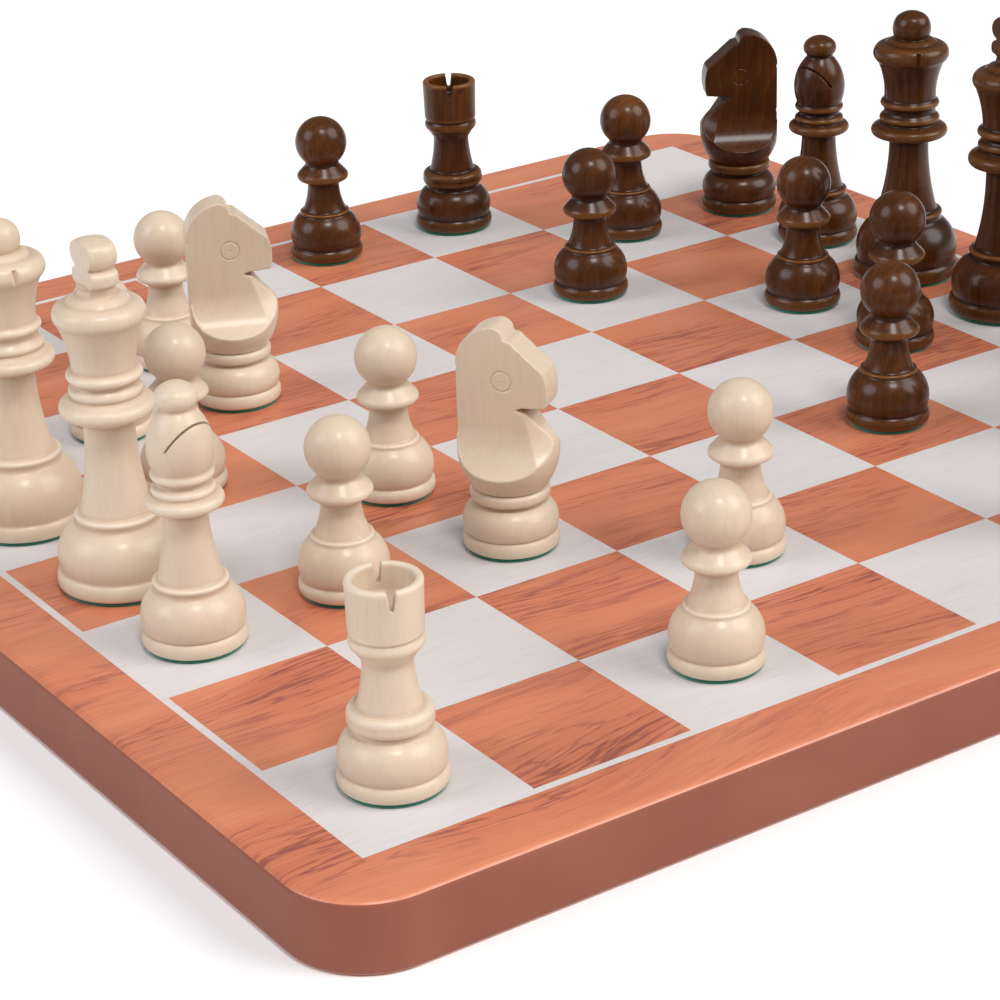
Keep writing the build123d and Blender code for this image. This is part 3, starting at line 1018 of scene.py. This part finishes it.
def slab(name, stations):
    """Closed board-shaped solid. Stations are (inset, height) up its edge, from below to above."""
    settings = bpy.context.scene.chess_board
    bm = bmesh.new()
    rings = []
    for inset, height in stations:
        radius = settings.corner_radius - inset
        ring = [bm.verts.new(p) for p in rounded_square(BOARD_HALF - inset, radius, height)]
        rings.append(ring)
    count = len(rings[0])
    for lower, upper in zip(rings, rings[1:]):
        for i in range(count):
            j = (i + 1) % count
            side = bm.faces.new((lower[i], lower[j], upper[j], upper[i]))
            side.smooth = True
    caps = [bm.faces.new(rings[0][::-1]), bm.faces.new(rings[-1])]
    for cap in caps:
        for edge in cap.edges:
            edge.smooth = False
    return mesh_of(bm, name)


def edge_inset(height, radius, top):
    """How far the rounded edge stands in from the board's side at one height."""
    reach = max(radius - height, height - (top - radius), 0.0)
    return radius - math.sqrt(max(radius**2 - reach**2, 0.0))


def edge_stations(low, high):
    """Stations up the board's edge between two heights."""
    settings = bpy.context.scene.chess_board
    count = 8
    bands = [(0.0, settings.edge_radius), (settings.edge_radius, BOARD_TOP - settings.edge_radius)]
    bands.append((BOARD_TOP - settings.edge_radius, BOARD_TOP))
    heights = {low, high}
    for start, end in bands:
        for index in range(count + 1):
            height = start + (end - start) * index / count
            if low < height < high:
                heights.add(height)
    return [(edge_inset(h, settings.edge_radius, BOARD_TOP), h) for h in sorted(heights)]


def tile_mesh(rectangles, low, high):
    """Flat tiles with real thickness, each a closed box given by (x0, y0, x1, y1)."""
    bm = bmesh.new()
    for x0, y0, x1, y1 in rectangles:
        size = ((x1 - x0), (y1 - y0), high - low)
        centre = Matrix.Translation(((x0 + x1) / 2, (y0 + y1) / 2, (low + high) / 2))
        bmesh.ops.create_cube(bm, size=1.0, matrix=centre @ Matrix.Diagonal((*size, 1.0)))
    return mesh_of(bm, "tiles")


def line_mesh(inner, outer, low, high):
    """Square frame of the printed line, as one closed ring."""
    bm = bmesh.new()
    corners = [(-1, -1), (1, -1), (1, 1), (-1, 1)]
    loops = []
    for reach, z in ((inner, low), (outer, low), (outer, high), (inner, high)):
        loops.append([bm.verts.new((x * reach, y * reach, z)) for x, y in corners])
    for index in range(4):
        after = (index + 1) % 4
        for this, that in zip(loops, loops[1:] + loops[:1]):
            bm.faces.new((this[index], this[after], that[after], that[index]))
    bmesh.ops.recalc_face_normals(bm, faces=bm.faces)
    return mesh_of(bm, "line")


class CHESS_OT_board(bpy.types.Operator):
    """Build the board: painted core, veneers and the light print."""

    bl_idname = "chess.board"
    bl_label = "Board"

    def execute(self, context):
        settings = context.scene.chess_board
        cut = settings.veneer
        layers = [
            ("painted_core", "board_core", cut, BOARD_TOP - cut, "edge", "edge_painted_mdf"),
            ("underside_veneer", "bottom_veneer", 0.0, cut, "veneer", "red_brown_veneer"),
            ("face_veneer", "top_veneer", BOARD_TOP - cut, BOARD_TOP, "veneer", "red_brown_veneer"),
        ]
        for name, node, low, high, finish, slot in layers:
            mesh = slab(name, edge_stations(low, high))
            new_piece(name, mesh, "board", [node], MATERIALS[finish])
        side = settings.square
        tiles = []
        for column in range(-4, 4):
            for row in range(-4, 4):
                if (column + row) % 2:
                    tiles.append((column * side, row * side, (column + 1) * side, (row + 1) * side))
        low, high = BOARD_TOP - 2 * settings.print_height, BOARD_TOP + settings.print_height
        squares = tile_mesh(tiles, low, high)
        ring = line_mesh(4 * side, 4 * side + settings.line_width, low, high)
        ink = MATERIALS["print"]
        new_piece("printed_squares", squares, "board", ["light_squares"], ink)
        new_piece("printed_line", ring, "board", ["border_line"], ink)
        return {"FINISHED"}


class CHESS_OT_pawns(bpy.types.Operator):
    """Build the sixteen pawns."""

    bl_idname = "chess.pawns"
    bl_label = "Pawns"

    def execute(self, context):
        place_men("pawn", [("wood", pawn_wood, "")])
        return {"FINISHED"}


class CHESS_OT_rooks(bpy.types.Operator):
    """Build the rooks."""

    bl_idname = "chess.rooks"
    bl_label = "Rooks"

    def execute(self, context):
        place_men("rook", [("wood", rook_wood, "")])
        return {"FINISHED"}


class CHESS_OT_knights(bpy.types.Operator):
    """Build the knights: a turned base and a carved head each."""

    bl_idname = "chess.knights"
    bl_label = "Knights"

    def execute(self, context):
        base = ("base_wood", knight_base_wood, "_base")
        head = ("head_wood", knight_head_wood, "_head")
        place_men("knight", [base, head])
        return {"FINISHED"}


class CHESS_OT_bishops(bpy.types.Operator):
    """Build the bishops."""

    bl_idname = "chess.bishops"
    bl_label = "Bishops"

    def execute(self, context):
        place_men("bishop", [("wood", bishop_wood, "")])
        return {"FINISHED"}


class CHESS_OT_queens(bpy.types.Operator):
    """Build the queens."""

    bl_idname = "chess.queens"
    bl_label = "Queens"

    def execute(self, context):
        place_men("queen", [("wood", queen_wood, "")])
        return {"FINISHED"}


class CHESS_OT_kings(bpy.types.Operator):
    """Build the kings."""

    bl_idname = "chess.kings"
    bl_label = "Kings"

    def execute(self, context):
        place_men("king", [("wood", king_wood, "")])
        return {"FINISHED"}


# Stage ------------------------------------------------------------------------------------------------


TARGET = Vector((0.0411, -0.0479, BOARD_TOP))  # the point that the camera looks at
SENSOR_MM = 36.0
FLOOR_HALF = 6.0
SKY_LIGHT = 0.2
# Name, azimuth, elevation, how wide it looks, light and tint
LAMPS = [
    ("right", 45, 38, 40, 0.69, "#FFFDFB"),
    ("left", -105, 32, 35, 0.45, "#F4F6FF"),
    ("front", -15, 62, 16, 0.44, "#FFFFFF"),
]


def softbox(name, azimuth, elevation, spread, light, tint):
    """A distant softbox: where it hangs and how wide it looks, in degrees, and its light."""
    lamp = bpy.data.lights.new(name, "SUN")
    lamp.angle = math.radians(spread)
    lamp.energy = light * math.pi
    lamp.color = colour(tint)[:3]
    holder = bpy.data.objects.new(name, lamp)
    bpy.context.scene.collection.objects.link(holder)
    a, e = math.radians(azimuth), math.radians(elevation)
    towards = Vector((math.cos(a) * math.cos(e), math.sin(a) * math.cos(e), math.sin(e)))
    holder.location = towards
    holder.rotation_mode = "QUATERNION"
    holder.rotation_quaternion = towards.to_track_quat("Z", "Y")


class CHESS_OT_stage(bpy.types.Operator):
    """Set up the camera, the floor, the lamps and the sky."""

    bl_idname = "chess.stage"
    bl_label = "Stage"

    def execute(self, context):
        settings = context.scene.chess_stage
        scene = context.scene
        a, e = settings.azimuth, settings.elevation
        back = Vector((math.sin(a) * math.cos(e), -math.cos(a) * math.cos(e), math.sin(e)))
        camera = bpy.data.objects.new("camera", bpy.data.cameras.new("camera"))
        scene.collection.objects.link(camera)
        camera.data.lens = settings.lens
        camera.data.sensor_width = SENSOR_MM
        camera.location = TARGET + back * settings.distance
        level = (-back).to_track_quat("-Z", "Y").to_matrix()
        camera.rotation_mode = "QUATERNION"
        tilted = level @ Matrix.Rotation(-settings.roll, 3, "Z")
        camera.rotation_quaternion = tilted.to_quaternion()
        camera.data.clip_start, camera.data.clip_end = 0.01, 50.0
        scene.camera = camera
        values = {"Base Color": colour("#FAFAFA"), "Roughness": 0.8}
        floor = bpy.data.meshes.new("floor")
        corners = [(-1, -1), (1, -1), (1, 1), (-1, 1)]
        floor.from_pydata([(x * FLOOR_HALF, y * FLOOR_HALF, 0) for x, y in corners], [], [(0, 1, 2, 3)])
        floor.materials.append(new_material("white_sweep", values)[0])
        sweep = bpy.data.objects.new("floor", floor)
        scene.collection.objects.link(sweep)
        world = bpy.data.worlds.new("studio")
        scene.world = world
        world.use_nodes = True
        sky = world.node_tree.nodes["Background"]
        sky.inputs["Color"].default_value = colour("#FFFFFF")
        sky.inputs["Strength"].default_value = SKY_LIGHT
        for lamp in LAMPS:
            softbox(*lamp)
        scene.view_settings.view_transform = "Standard"
        return {"FINISHED"}


class CHESS_PT_panel(bpy.types.Panel):
    """Lists what the set is built from."""

    bl_idname = "CHESS_PT_panel"
    bl_label = "Chess Set"
    bl_space_type = "VIEW_3D"
    bl_region_type = "UI"
    bl_category = "Chess Set"

    def draw(self, context):
        for group in (context.scene.chess_board, context.scene.chess_men, context.scene.chess_stage):
            for name in group.__annotations__:
                self.layout.prop(group, name)
        for operator in OPERATORS:
            self.layout.operator(operator.bl_idname)


OPERATORS = (
    CHESS_OT_stage,
    CHESS_OT_board,
    CHESS_OT_pawns,
    CHESS_OT_rooks,
    CHESS_OT_knights,
    CHESS_OT_bishops,
    CHESS_OT_queens,
    CHESS_OT_kings,
)
SETTINGS = {
    "chess_board": ChessBoardSettings,
    "chess_men": ChessMenSettings,
    "chess_stage": ChessStageSettings,
}


def register():
    """Register the settings, operators and panel."""
    for name, group in SETTINGS.items():
        bpy.utils.register_class(group)
        setattr(bpy.types.Scene, name, bpy.props.PointerProperty(type=group))
    for operator in OPERATORS:
        bpy.utils.register_class(operator)
    bpy.utils.register_class(CHESS_PT_panel)


def unregister():
    """Take everything off again."""
    bpy.utils.unregister_class(CHESS_PT_panel)
    for operator in reversed(OPERATORS):
        bpy.utils.unregister_class(operator)
    for name, group in reversed(SETTINGS.items()):
        delattr(bpy.types.Scene, name)
        bpy.utils.unregister_class(group)


def main():
    """Build the whole set."""
    register()
    make_materials()
    for operator in OPERATORS:
        group, name = operator.bl_idname.split(".")
        getattr(getattr(bpy.ops, group), name)()


if __name__ == "__main__":
    main()
